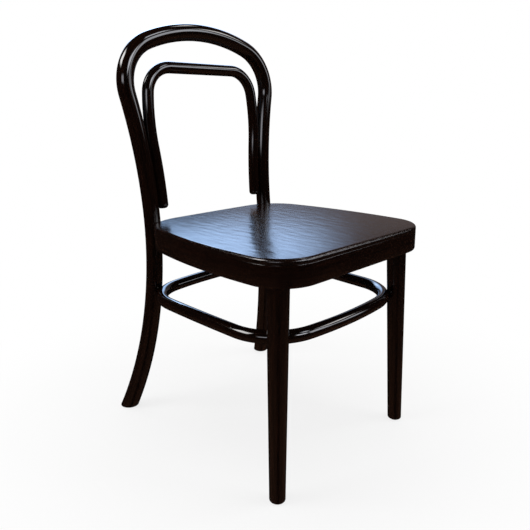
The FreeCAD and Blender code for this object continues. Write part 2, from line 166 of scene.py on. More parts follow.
class LegRingSizes(bpy.types.PropertyGroup):
    rod: length("Rod", "Diameter of the leg ring's rod", 25.0)
    front_back: length("Front", "Distance of the ring's front behind the seat's squared front", 59.0)
    rear_back: length("Rear", "Distance of the ring's rear behind the seat's squared front", 424.5)
    front_width: length("Front width", "Width of the squared outline at the front", 380.0)
    rear_width: length("Rear width", "Width of the squared outline at the rear", 400.0)
    front_bow: length("Front bow", "How far the ring's front bows outwards", 21.0)
    side_bow: length("Side bow", "How far the ring's sides bow outwards", 4.0)
    rear_bow: length("Rear bow", "How far the ring's rear bows outwards", 28.0)
    front_corner: length("Front corner", "Radius of the front corners", 105.0)
    rear_corner: length("Rear corner", "Radius of the rear corners", 98.0)


class Finish(bpy.types.PropertyGroup):
    stain: colour("Stain", "Near-black brown of the stained beech", "#0C0503")
    stain_light: colour("Light stain", "Redder brown that the stain leaves between the fibres", "#1D0D07")
    pore: colour("Pores", "Black brown in the wood's pores", "#060302")
    gloss: amount("Gloss", "Strength of the clear lacquer's mirroring", 0.5)
    rod_blur: amount("Rod blur", "Roughness of the lacquer on the rods and legs", 0.07)
    seat_blur: amount("Seat blur", "Roughness of the lacquer on the seat", 0.22)


def sizes(name):
    return getattr(bpy.context.scene.chair, name)


class ChairSettings(bpy.types.PropertyGroup):
    seat: bpy.props.PointerProperty(type=SeatSizes, name="Seat", description="Sizes of the seat")
    back: bpy.props.PointerProperty(type=BackSizes, name="Back", description="Sizes of the hoops")
    legs: bpy.props.PointerProperty(type=LegSizes, name="Front legs", description="Sizes of the front legs")
    leg_ring: bpy.props.PointerProperty(
        type=LegRingSizes, name="Leg ring", description="Sizes of the leg ring")
    finish: bpy.props.PointerProperty(
        type=Finish, name="Finish", description="Colours of the wood and sheen of its lacquer")


# Arcs

def turned(centre, radius, angle):
    return Vector((centre[0] + radius * math.cos(angle), centre[1] + radius * math.sin(angle)))


def arc_count(radius, start, end, step, bend):
    """How many steps an arc needs, so that none is longer than step or turns more than bend."""
    sweep = abs(end - start)
    return max(2, math.ceil(sweep * radius / step), math.ceil(sweep / bend))


def arc_points(centre, radius, start, end):
    """Points from start up to, but without, the end of an arc."""
    count = arc_count(radius, start, end, BEND_STEP, BEND_TURN)
    return [turned(centre, radius, start + (end - start) * k / count) for k in range(count)]


def bow(start, end, height):
    """Centre and radius of a side bowed to its right by a height."""
    chord = end - start
    radius = (chord.length_squared / 4 + height ** 2) / (2 * height)
    outwards = Vector((chord.y, -chord.x)).normalized()
    return (start + end) / 2 - outwards * (radius - height), radius


def corner_centre(before, after, radius, post):
    """Centre of the round corner that touches two bowed sides near a post."""
    reach_before = before[1] - radius
    reach_after = after[1] - radius
    between = after[0] - before[0]
    along = (reach_before ** 2 - reach_after ** 2 + between.length_squared) / (2 * between.length)
    off = math.sqrt(reach_before ** 2 - along ** 2)
    way = between.normalized()
    across = Vector((-way.y, way.x)) * off
    found = [before[0] + way * along + across, before[0] + way * along - across]
    return min(found, key=lambda point: (point - post).length)


def heading(way):
    return math.atan2(way.y, way.x)


def bowed_outline(front_y, rear_y, size):
    """Eight tangent arcs, as centre, radius, start and end: bowed sides and round corners."""
    half_front, half_rear = size.front_width / 2, size.rear_width / 2
    posts = [Vector(p) for p in
             ((-half_front, front_y), (half_front, front_y), (half_rear, rear_y), (-half_rear, rear_y))]
    bows = [size.front_bow, size.side_bow, size.rear_bow, size.side_bow]
    radii = [size.front_corner, size.front_corner, size.rear_corner, size.rear_corner]
    sides = [bow(posts[k], posts[(k + 1) % 4], bows[k]) for k in range(4)]
    centres = [corner_centre(sides[k - 1], sides[k], radii[k], posts[k]) for k in range(4)]
    arcs = []
    for k in range(4):
        side, side_radius = sides[k]
        arriving = heading(centres[k] - sides[k - 1][0])
        leaving = heading(centres[k] - side)
        ending = heading(centres[(k + 1) % 4] - side)
        for centre, radius, start, end in ((centres[k], radii[k], arriving, leaving),
                                           (side, side_radius, leaving, ending)):
            arcs.append((centre, radius, start, start + (end - start) % math.tau))
    return arcs


def outline_points(arcs, offset=0.0):
    """Points round an outline, moved outwards by an offset: every offset has the same count."""
    points = []
    for centre, radius, start, end in arcs:
        count = arc_count(radius, start, end, OUTLINE_STEP, OUTLINE_TURN)
        points += [turned(centre, radius + offset, start + (end - start) * k / count) for k in range(count)]
    return points


# Centre lines

def seat_front():
    """Y of the seat's squared front."""
    return SEAT_LOW.y + sizes("seat").front_bow


def seat_rear():
    return SEAT_HIGH.y - sizes("seat").rear_bow


def seat_arcs():
    return bowed_outline(seat_front(), seat_rear(), sizes("seat"))


def leg_ring_arcs():
    size = sizes("leg_ring")
    return bowed_outline(seat_front() + size.front_back, seat_front() + size.rear_back, size)


def waist():
    size = sizes("back")
    return Vector((size.waist_width / 2, seat_front() + size.waist_back, SEAT_HIGH.z + size.waist_rise))


def back_up():
    rake = sizes("back").rake
    return Vector((0, math.sin(rake), math.cos(rake)))


def in_back_plane(point):
    """The place of a point of the back's own plane: x across, y up along it from the waist."""
    return Vector((point.x, waist().y, waist().z)) + back_up() * point.y


def hoop_layout():
    """Centres and angles of the tangent arcs of the outer hoop."""
    size = sizes("back")
    crown_v = (HOOP_HIGH.z - size.rod / 2 - waist().z) / math.cos(size.rake)
    arm = size.crown_radius - size.shoulder_radius
    lean = math.asin((waist().x + size.swell - size.shoulder_radius) / arm)
    crown = Vector((0, crown_v - size.crown_radius))
    shoulder = crown + arm * Vector((math.sin(lean), math.cos(lean)))
    dx = waist().x - shoulder.x
    radius = (dx ** 2 + shoulder.y ** 2 - size.shoulder_radius ** 2) / (2 * (size.shoulder_radius - dx))
    upright = Vector((waist().x + radius, 0))
    return crown, shoulder, upright, radius, lean, heading(shoulder - upright)


def rear_leg_points():
    """Places down the left rear leg from the waist to below the floor, with the share of the way."""
    size = sizes("back")
    foot = Vector((size.foot_spacing / 2, seat_front() + size.foot_back, 0)) - waist()
    drop = -foot.dot(back_up())
    bend = foot + back_up() * drop
    radius = (bend.length_squared + drop ** 2) / (2 * bend.length)
    angle = math.atan2(drop, radius - bend.length)
    side = bend.normalized()
    end = angle + size.rod / radius
    count = math.ceil(end * radius / LEG_STEP)
    places = []
    for k in range(count + 1):
        a = end * k / count
        place = waist() + side * (radius * (1 - math.cos(a))) - back_up() * (radius * math.sin(a))
        places.append((place, a / angle))
    return places


def flipped(place):
    return Vector((-place.x, place.y, place.z))


def outer_hoop_line():
    """Places and rod radii from one rear foot over the crown to the other."""
    size = sizes("back")
    crown, shoulder, upright, radius, lean, start = hoop_layout()
    quarter = math.pi / 2
    arch = arc_points(upright, radius, math.pi, start)
    arch += arc_points(shoulder, size.shoulder_radius, start - math.pi, quarter - lean)
    arch += arc_points(crown, size.crown_radius, quarter - lean, quarter)
    half = [(in_back_plane(p), size.rod / 2) for p in arch]
    grow = (size.foot - size.rod) / 2
    leg = [(place, size.rod / 2 + grow * share) for place, share in rear_leg_points()]
    left = list(reversed(leg))[:-1] + half
    top = (in_back_plane(turned(crown, size.crown_radius, quarter)), size.rod / 2)
    right = [(flipped(place), r) for place, r in reversed(left)]
    return left + [top] + right


def inner_layout():
    """Arcs of the inner hoop: beside the upright, along the side and round the shoulder."""
    size = sizes("back")
    _, _, upright, upright_radius, _, _ = hoop_layout()
    rod = size.inner_rod / 2
    spacing = size.rod / 2 + rod + size.glue
    beside = upright_radius + spacing
    side_x = waist().x - spacing + size.inner_swell - size.inner_side
    side = Vector((side_x, math.sqrt((size.inner_side + beside) ** 2 - (upright.x - side_x) ** 2)))
    top = (HOOP_HIGH.z - size.inner_drop - rod - waist().z) / math.cos(size.rake)
    shoulder_y = top - size.inner_shoulder
    arm = size.inner_side - size.inner_shoulder
    shoulder = Vector((side_x + math.sqrt(arm ** 2 - (shoulder_y - side.y) ** 2), shoulder_y))
    low = SEAT_HIGH.z + size.inner_rise
    start = math.pi - math.asin((low - waist().z) / math.cos(size.rake) / beside)
    return upright, beside, side, shoulder, top, start


def inner_hoop_line():
    size = sizes("back")
    upright, beside, side, shoulder, top, start = inner_layout()
    meet = heading(side - upright)
    over = heading(shoulder - side)
    rod, nose = size.inner_rod / 2, size.inner_round
    left = []
    for k in range(NOSE_STEPS + 1):
        a = math.radians(90 * k / NOSE_STEPS)
        angle = start - nose * (1 - math.cos(a)) / beside
        left.append((in_back_plane(turned(upright, beside, angle)), rod - nose + nose * math.sin(a)))
    arch = arc_points(upright, beside, start - nose / beside, meet)[1:]
    arch += arc_points(side, size.inner_side, meet - math.pi, over)
    arch += arc_points(shoulder, size.inner_shoulder, over, math.pi / 2)
    left += [(in_back_plane(p), rod) for p in arch]
    bar_end = Vector((shoulder.x, top))
    count = math.ceil(2 * shoulder.x / BAR_STEP)
    bar = [(in_back_plane(Vector((bar_end.x * (1 - 2 * k / count), top))), rod) for k in range(count + 1)]
    right = [(flipped(place), r) for place, r in reversed(left)]
    return left + bar + right


def front_leg_line():
    size = sizes("legs")
    foot = Vector((size.foot_spacing / 2, seat_front() + size.foot_back, 0))
    top = Vector((size.top_spacing / 2, seat_front() + size.top_back, RING_LOW.z))
    return foot, top


# Meshes

def keep(mesh_object, slot, *nodes):
    """Let a finished piece ride and stand for its nodes. The slot is not used."""
    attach(mesh_object, BODY)
    if nodes:
        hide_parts(*nodes)


def smooth_object(name, mesh, material):
    mesh.materials.clear()
    mesh.materials.append(material)
    mesh.shade_smooth()
    mesh.set_sharp_from_angle(angle=SHARP_TURN)
    piece = bpy.data.objects.new(name, mesh)
    bpy.context.scene.collection.objects.link(piece)
    return piece


def banded_mesh(name, arcs, section, closed):
    """Rings of an outline joined into bands; section holds an outward offset and a height for each ring."""
    rings = [[(p.x, p.y, z) for p in outline_points(arcs, offset)] for offset, z in section]
    count = len(rings[0])
    faces = []
    last = len(rings) if closed else len(rings) - 1
    for j in range(last):
        low, high = j * count, (j + 1) % len(rings) * count
        faces += [(low + k, low + (k + 1) % count, high + (k + 1) % count, high + k) for k in range(count)]
    if not closed:
        faces.append(tuple(reversed(range(count))))
        faces.append(tuple(range(last * count, (last + 1) * count)))
    mesh = bpy.data.meshes.new(name)
    mesh.from_pydata([p for ring in rings for p in ring], [], faces)
    way_round = [0.0]
    for before, after in zip(rings[0], rings[0][1:]):
        way_round.append(way_round[-1] + (Vector(after) - Vector(before)).length)
    fibre = mesh.attributes.new("fibre", "FLOAT_VECTOR", "POINT")
    straightened = [(offset, z, way) for offset, z in section for way in way_round]
    fibre.data.foreach_set("vector", [value for place in straightened for value in place])
    fixed = bmesh.new()
    fixed.from_mesh(mesh)
    bmesh.ops.recalc_face_normals(fixed, faces=fixed.faces)
    fixed.to_mesh(mesh)
    fixed.free()
    return mesh


def rounding(offset, z, radius, start, steps=6):
    """A quarter round of a section about a centre, from a start angle in degrees."""
    angles = [math.radians(start + 90 * k / steps) for k in range(steps + 1)]
    return [(offset + radius * math.cos(a), z + radius * math.sin(a)) for a in angles]


# Node trees

def add(tree, kind, inputs=(), **settings):
    """Add a node, set its properties and set or link its inputs."""
    node = tree.nodes.new(kind)
    for name, value in settings.items():
        setattr(node, name, value)
    for key, value in dict(inputs).items():
        if isinstance(value, bpy.types.NodeSocket):
            tree.links.new(value, node.inputs[key])
        else:
            node.inputs[key].default_value = value
    return node


def rod_tree():
    """Sweeps a round rod along a centre line and notes where its fibres ran before it was bent."""
    tree = bpy.data.node_groups.get("Bent rod")
    if tree:
        return tree
    tree = bpy.data.node_groups.new("Bent rod", "GeometryNodeTree")
    face = tree.interface
    face.new_socket("Centre line", in_out="INPUT", socket_type="NodeSocketGeometry")
    face.new_socket("Sides", in_out="INPUT", socket_type="NodeSocketInt")
    face.new_socket("Finish", in_out="INPUT", socket_type="NodeSocketMaterial")
    face.new_socket("Rod", in_out="OUTPUT", socket_type="NodeSocketGeometry")
    given = add(tree, "NodeGroupInput")
    radius = add(tree, "GeometryNodeInputRadius")
    along = add(tree, "GeometryNodeSplineParameter")
    line = add(tree, "GeometryNodeCaptureAttribute", {"Geometry": given.outputs["Centre line"]})
    line.capture_items.new("FLOAT", "Along")
    tree.links.new(along.outputs["Length"], line.inputs["Along"])
    line.capture_items.new("FLOAT", "Thickness")
    tree.links.new(radius.outputs["Radius"], line.inputs["Thickness"])
    circle = add(tree, "GeometryNodeCurvePrimitiveCircle", {
        "Resolution": given.outputs["Sides"], "Radius": 1.0})
    place = add(tree, "GeometryNodeInputPosition")
    profile = add(tree, "GeometryNodeCaptureAttribute", {"Geometry": circle.outputs["Curve"]})
    profile.capture_items.new("VECTOR", "Across")
    tree.links.new(place.outputs["Position"], profile.inputs["Across"])
    swept = add(tree, "GeometryNodeCurveToMesh", {
        "Curve": line.outputs["Geometry"], "Profile Curve": profile.outputs["Geometry"],
        "Scale": line.outputs["Thickness"], "Fill Caps": True})
    across = add(tree, "ShaderNodeVectorMath", {0: profile.outputs["Across"]}, operation="SCALE")
    tree.links.new(line.outputs["Thickness"], across.inputs["Scale"])
    parts = add(tree, "ShaderNodeSeparateXYZ", {0: across.outputs["Vector"]})
    straight = add(tree, "ShaderNodeCombineXYZ", {
        "X": parts.outputs["X"], "Y": parts.outputs["Y"], "Z": line.outputs["Along"]})
    noted = add(tree, "GeometryNodeStoreNamedAttribute", {
        "Geometry": swept.outputs["Mesh"], "Name": "fibre"}, data_type="FLOAT_VECTOR", domain="POINT")
    tree.links.new(straight.outputs["Vector"], noted.inputs["Value"])
    real = add(tree, "GeometryNodeRealizeInstances", {"Geometry": noted.outputs["Geometry"]})
    painted = add(tree, "GeometryNodeSetMaterial", {
        "Geometry": real.outputs["Geometry"], "Material": given.outputs["Finish"]})
    done = add(tree, "NodeGroupOutput")
    tree.links.new(painted.outputs["Geometry"], done.inputs["Rod"])
    return tree


def set_input(modifier, name, value):
    for item in modifier.node_group.interface.items_tree:
        if item.item_type == "SOCKET" and item.in_out == "INPUT" and item.name == name:
            modifier[item.identifier] = value


def swept_rod(name, line, material, closed=False):
    """A mesh rod along places and radii, made by the rod tree."""
    curve = bpy.data.curves.new(name, "CURVE")
    curve.dimensions = "3D"
    spline = curve.splines.new("POLY")
    spline.points.add(len(line) - 1)
    for point, (place, radius) in zip(spline.points, line):
        point.co = (*place, 1.0)
        point.radius = radius
    spline.use_cyclic_u = closed
    carrier = bpy.data.objects.new(name, curve)
    bpy.context.scene.collection.objects.link(carrier)
    modifier = carrier.modifiers.new("Rod", "NODES")
    modifier.node_group = rod_tree()
    set_input(modifier, "Sides", ROD_SIDES)
    set_input(modifier, "Finish", material)
    view = bpy.context.evaluated_depsgraph_get()
    mesh = bpy.data.meshes.new_from_object(carrier.evaluated_get(view), depsgraph=view)
    carrier.modifiers.remove(modifier)
    bpy.data.objects.remove(carrier)
    bpy.data.curves.remove(curve)
    mesh.name = name
    return mesh


def cut_level(mesh, height, rounding_radius):
    """Cut a mesh off at a height, close it and round its rim."""
    solid = bmesh.new()
    solid.from_mesh(mesh)
    every = solid.verts[:] + solid.edges[:] + solid.faces[:]
    bmesh.ops.bisect_plane(solid, geom=every, plane_co=(0, 0, height), plane_no=(0, 0, 1), clear_inner=True)
    rim = [e for e in solid.edges if e.is_boundary]
    bmesh.ops.holes_fill(solid, edges=rim, sides=0)
    rims = [e for e in solid.edges if all(abs(v.co.z - height) < 1e-6 for v in e.verts)]
    bmesh.ops.bevel(solid, geom=rims, offset=rounding_radius, offset_type="OFFSET", segments=4,
                    affect="EDGES", profile=0.5, clamp_overlap=True)
    bmesh.ops.recalc_face_normals(solid, faces=solid.faces)
    solid.to_mesh(mesh)
    solid.free()


# Materials

def new_material(name):
    material = bpy.data.materials.new(name)
    material.use_nodes = True
    material.node_tree.nodes.clear()
    return material, material.node_tree


def finish_tree(tree, shader):
    output = add(tree, "ShaderNodeOutputMaterial")
    tree.links.new(shader.outputs[0], output.inputs["Surface"])


def fibre_pattern(tree, place, across, lengthwise, along, detail):
    """A noise pattern with a grain size in metres across the fibres and another along them."""
    scale = [1 / across] * 3
    scale[along] = 1 / lengthwise
    mapped = add(tree, "ShaderNodeMapping", {"Vector": place, "Scale": scale})
    pattern = add(tree, "ShaderNodeTexNoise", {
        "Vector": mapped.outputs["Vector"], "Scale": 1.0, "Detail": detail, "Roughness": 0.55})
    return pattern.outputs["Fac"]


# Length across and along the fibres of the growth rings' lines, of the pores and of the grain that sinks
# through the film. Beech's pores are under 0.1 mm wide and are drawn coarser so that they show.
FIGURE = (3 * MM, 90 * MM)
PORES = (0.5 * MM, 7 * MM)
SUNKEN_GRAIN = (1.6 * MM, 30 * MM)

# Length across and along the fibres, and depth, of the waves in the lacquer's surface. The seat's film sinks
# along the veneer's streaks, whose waves are drawn wider and deeper than real ones so that they show.
LEVELLED_FILM = (25 * MM, 60 * MM, 0.08 * MM)
VENEER_FILM = (12 * MM, 34 * MM, 0.5 * MM)


def lacquered_beech(name, fibres, along, blur, streaks, wave=LEVELLED_FILM):
    """Beech stained nearly black under clear gloss lacquer.

    The eye gets clear reflections on dark brown, with faint long fibres and short darker pores below them.
    """
    finish = sizes("finish")
    material, tree = new_material(name)
    if fibres:
        place = add(tree, "ShaderNodeAttribute", attribute_name="fibre").outputs["Vector"]
    else:
        place = add(tree, "ShaderNodeTexCoord").outputs["Object"]
    figure = fibre_pattern(tree, place, *FIGURE, along, 4.0)
    pores = fibre_pattern(tree, place, *PORES, along, 2.0)
    wood = finish.stain
    for pattern, low, high, most, tint in (
            (figure, 0.38, 0.72, 1.0, finish.stain_light), (pores, 0.6, 0.7, 0.8, finish.pore)):
        share = add(tree, "ShaderNodeMapRange", {
            "Value": pattern, "From Min": low, "From Max": high, "To Max": most})
        wood = add(tree, "ShaderNodeMix", {0: share.outputs["Result"], 6: wood, 7: tint},
                   data_type="RGBA").outputs[2]
    across, lengthwise, depth = wave
    levelled = fibre_pattern(tree, place, across, lengthwise, along, 0.5)
    fine = fibre_pattern(tree, place, *SUNKEN_GRAIN, along, 3.0)
    film = add(tree, "ShaderNodeBump", {"Height": levelled, "Strength": 1.0, "Distance": depth})
    film = add(tree, "ShaderNodeBump", {
        "Height": fine, "Strength": streaks, "Distance": 0.1 * MM, "Normal": film.outputs["Normal"]})
    sheen = add(tree, "ShaderNodeMapRange", {
        "Value": fine, "From Min": 0.3, "From Max": 0.7, "To Min": blur * 0.8, "To Max": blur * 1.2})
    shader = add(tree, "ShaderNodeBsdfPrincipled", {
        "Base Color": wood, "Roughness": sheen.outputs["Result"], "IOR": 1.5,
        "Specular IOR Level": finish.gloss, "Normal": film.outputs["Normal"]})
    finish_tree(tree, shader)
    return material


def mottled_steel(name, tint, mottle_size, detail, sharpest, dullest):
    """Plated or browned steel, whose sheen varies in small spots."""
    material, tree = new_material(name)
    place = add(tree, "ShaderNodeTexCoord").outputs["Object"]
    mottle = add(tree, "ShaderNodeTexNoise", {"Vector": place, "Scale": 1 / mottle_size, "Detail": detail})
    sheen = add(tree, "ShaderNodeMapRange", {
        "Value": mottle.outputs["Fac"], "To Min": sharpest, "To Max": dullest})
    shader = add(tree, "ShaderNodeBsdfPrincipled", {
        "Base Color": linear(tint), "Metallic": 1.0, "Roughness": sheen.outputs["Result"]})
    finish_tree(tree, shader)
    return material


def zinc_steel():
    """Zinc-plated wood screws and nails: pale warm grey metal, softly shiny."""
    return mottled_steel("Zinc plated steel", "#B9B4A6", 1.5 * MM, 2.0, 0.25, 0.45)


def browned_steel():
    """Browned steel bolts: dark bronze metal with a dull sheen."""
    return mottled_steel("Browned steel", "#4A3A31", 2 * MM, 3.0, 0.3, 0.5)


def moulded_plastic():
    """Moulded polyethylene glides: near-black and matt, with a fine grain."""
    material, tree = new_material("Moulded polyethylene")
    place = add(tree, "ShaderNodeTexCoord").outputs["Object"]
    grain = add(tree, "ShaderNodeTexNoise", {"Vector": place, "Scale": 1 / (0.8 * MM), "Detail": 2.0})
    bump = add(tree, "ShaderNodeBump", {
        "Height": grain.outputs["Fac"], "Strength": 0.2, "Distance": 0.1 * MM})
    shader = add(tree, "ShaderNodeBsdfPrincipled", {
        "Base Color": linear("#1C1817"), "Roughness": 0.55, "Normal": bump.outputs["Normal"]})
    finish_tree(tree, shader)
    return material


def made_once(name, make):
    return bpy.data.materials.get(name) or make()


# Axis that the fibres follow: Z of the straightened rod or band, Y from the seat's front to its rear, and X
# in the blocks and plugs
ROD_FIBRES, SEAT_FIBRES, BLOCK_FIBRES = 2, 1, 0


def rod_wood():
    """Bent and turned rods, which mirror sharply."""
    name = "Lacquered bent beech"
    blur = sizes("finish").rod_blur
    return made_once(name, lambda: lacquered_beech(name, True, ROD_FIBRES, blur, 0.1))


def panel_wood():
    """The seat's veneer, whose reflections are soft and streaky."""
    name = "Lacquered seat veneer"
    blur = sizes("finish").seat_blur
    return made_once(name, lambda: lacquered_beech(name, False, SEAT_FIBRES, blur, 0.1, VENEER_FILM))


def band_wood():
    """The bent band under the seat, whose fibres run round it."""
    name = "Lacquered bent seat ring"
    blur = sizes("finish").rod_blur
    return made_once(name, lambda: lacquered_beech(name, True, ROD_FIBRES, blur, 0.15))


def block_wood():
    """Corner blocks and plugs, sprayed with a thinner and duller coat."""
    name = "Lacquered block beech"
    blur = sizes("finish").seat_blur
    return made_once(name, lambda: lacquered_beech(name, False, BLOCK_FIBRES, blur, 0.2))


def dress(nodes, material):
    """Give nodes of the frame that stay in sight their finish."""
    for name in nodes:
        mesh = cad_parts[name].data
        mesh.materials.clear()
        mesh.materials.append(material)


# Operators

class ChairPiece:
    bl_options = {"REGISTER", "UNDO"}


class CHAIR_OT_outer_hoop(ChairPiece, bpy.types.Operator):
    """Bend the outer hoop, whose ends are the rear legs"""
    bl_idname = "chair.outer_hoop"
    bl_label = "Outer hoop"

    def execute(self, context):
        mesh = swept_rod("outer_hoop", outer_hoop_line(), rod_wood())
        cut_level(mesh, GLIDE_HIGH.z, sizes("back").foot_round)
        keep(smooth_object("outer_hoop", mesh, rod_wood()), "bent_wood", "back_hoop")
        return {"FINISHED"}


class CHAIR_OT_inner_hoop(ChairPiece, bpy.types.Operator):
    """Bend the inner hoop between the uprights"""
    bl_idname = "chair.inner_hoop"
    bl_label = "Inner hoop"

    def execute(self, context):
        mesh = swept_rod("inner_hoop_rod", inner_hoop_line(), rod_wood())
        keep(smooth_object("inner_hoop_rod", mesh, rod_wood()), "bent_wood", "inner_hoop")
        return {"FINISHED"}


class CHAIR_OT_leg_ring(ChairPiece, bpy.types.Operator):
    """Bend the closed ring between the legs"""
    bl_idname = "chair.leg_ring"
    bl_label = "Leg ring"

    def execute(self, context):
        height = (LEG_RING_LOW.z + LEG_RING_HIGH.z) / 2
        radius = sizes("leg_ring").rod / 2
        points = []
        for arc in leg_ring_arcs():
            points += arc_points(*arc)
        line = [(Vector((p.x, p.y, height)), radius) for p in points]
        mesh = swept_rod("leg_ring_rod", line, rod_wood(), closed=True)
        keep(smooth_object("leg_ring_rod", mesh, rod_wood()), "bent_wood", "leg_ring")
        return {"FINISHED"}


class CHAIR_OT_seat(ChairPiece, bpy.types.Operator):
    """Make the seat's panel and the bent ring that carries it"""
    bl_idname = "chair.seat"
    bl_label = "Seat"

    def execute(self, context):
        size = sizes("seat")
        top, foot = size.panel_top_round, size.panel_foot_round
        section = rounding(-foot, SEAT_LOW.z + foot, foot, -90, 3)
        section += rounding(-top, SEAT_HIGH.z - top, top, 0, 8)
        mesh = banded_mesh("seat_top", seat_arcs(), section, closed=False)
        keep(smooth_object("seat_top", mesh, panel_wood()), "seat_wood", "seat_panel")
        low, high, wall = size.ring_bottom_round, size.ring_top_round, size.ring_wall
        section = rounding(-low, RING_LOW.z + low, low, -90)
        section += rounding(-high, RING_HIGH.z - high, high, 0, 3)
        section += rounding(high - wall, RING_HIGH.z - high, high, 90, 3)
        section += rounding(low - wall, RING_LOW.z + low, low, 180)
        mesh = banded_mesh("seat_band", seat_arcs(), section, closed=True)
        keep(smooth_object("seat_band", mesh, band_wood()), "seat_wood", "seat_ring")
        return {"FINISHED"}


class CHAIR_OT_front_legs(ChairPiece, bpy.types.Operator):
    """Turn the two tapered front legs"""
    bl_idname = "chair.front_legs"
    bl_label = "Front legs"

    def execute(self, context):
        size = sizes("legs")
        foot, top = front_leg_line()
        run = top - foot
        slope = (size.top - size.foot) / 2
        below = 0.05
        shares = [-below + (1 + below) * k / FRONT_LEG_STEPS for k in range(FRONT_LEG_STEPS + 1)]
        for side, place in (("left", lambda p: p), ("right", flipped)):
            line = [(place(foot + run * s), size.foot / 2 + slope * s) for s in shares]
            mesh = swept_rod("front_leg_turned_" + side, line, rod_wood())
            cut_level(mesh, GLIDE_HIGH.z, sizes("back").foot_round)
            piece = smooth_object("front_leg_turned_" + side, mesh, rod_wood())
            keep(piece, "turned_wood", "front_leg_" + side)
        return {"FINISHED"}


class CHAIR_OT_fittings(ChairPiece, bpy.types.Operator):
    """Give the blocks, plugs, fasteners and glides their finishes"""
    bl_idname = "chair.fittings"
    bl_label = "Fittings"

    def execute(self, context):
        dress(["corner_block_left", "corner_block_right"], block_wood())
        dress(["hoop_screw_plugs", "leg_ring_screw_plugs"], block_wood())
        steel = made_once("Zinc plated steel", zinc_steel)
        dress(["hoop_screws", "leg_ring_screws", "corner_block_screws", "panel_screws", "glide_nails"], steel)
        bolts = made_once("Browned steel", browned_steel)
        dress(["seat_bolts", "seat_bolt_washers", "seat_bolt_nuts"], bolts)
        dress(["foot_glides"], made_once("Moulded polyethylene", moulded_plastic))
        return {"FINISHED"}


# Studio

# The camera that was fitted to the outlines in the photograph
CAMERA_PLACE = Vector((-747.8, -795.3, 677.9)) * MM
CAMERA_HEADING = math.radians(42.754)
CAMERA_PITCH = math.radians(14.439)
CAMERA_ROLL = math.radians(-1.004)
FOCAL_PIXELS = 514.5
FRAME_PIXELS = 530
CENTRE_X, CENTRE_Y = 259.33, 248.89
SENSOR = 36.0


def aim(heading_angle, pitch, roll):
    """The rotation of a camera from its heading, from +Y towards +X, its downward pitch and its roll."""
    forward = Vector((math.sin(heading_angle) * math.cos(pitch), math.cos(heading_angle) * math.cos(pitch),
                      -math.sin(pitch)))
    right = Vector((math.cos(heading_angle), -math.sin(heading_angle), 0))
    above = right.cross(forward)
    level = right * math.cos(roll) + above * math.sin(roll)
    upright = above * math.cos(roll) - right * math.sin(roll)
    return Matrix((level, upright, -forward)).transposed().to_quaternion()


def make_camera():
    data = bpy.data.cameras.new("Camera")
    data.sensor_width = SENSOR
    data.lens = SENSOR * FOCAL_PIXELS / FRAME_PIXELS
    data.shift_x = (FRAME_PIXELS / 2 - CENTRE_X) / FRAME_PIXELS
    data.shift_y = (CENTRE_Y - FRAME_PIXELS / 2) / FRAME_PIXELS
    camera = bpy.data.objects.new("Camera", data)
    camera.location = CAMERA_PLACE
    camera.rotation_mode = "QUATERNION"
    camera.rotation_quaternion = aim(CAMERA_HEADING, CAMERA_PITCH, CAMERA_ROLL)
    bpy.context.scene.collection.objects.link(camera)
    bpy.context.scene.camera = camera


# Lamps: heading and elevation in degrees, distance, width and height in metres, power in watts
LAMPS = (
    ("Left lamp", 300, 25, 2.6, 1.2, 1.4, 30),
    ("Front lamp", 138, 35, 2.8, 1.6, 1.0, 28),
    ("Ceiling", 30, 85, 2.6, 3.0, 3.0, 60),
)


def softbox(name, heading_degrees, elevation, distance, width, height, power):
    """An area lamp that looks at the middle of the chair. The lacquer mirrors the room instead of it."""
    data = bpy.data.lights.new(name, "AREA")
    data.shape = "RECTANGLE"
    data.size, data.size_y = width, height
    data.energy = power
    lamp = bpy.data.objects.new(name, data)
    a, e = math.radians(heading_degrees), math.radians(elevation)
    way = Vector((math.sin(a) * math.cos(e), math.cos(a) * math.cos(e), math.sin(e)))
    middle = (CAD_BOX[0] + CAD_BOX[1]) / 2
    lamp.location = middle + way * distance
    lamp.rotation_mode = "QUATERNION"
    lamp.rotation_quaternion = way.to_track_quat("Z", "Y")
    lamp.visible_glossy = False
    bpy.context.scene.collection.objects.link(lamp)


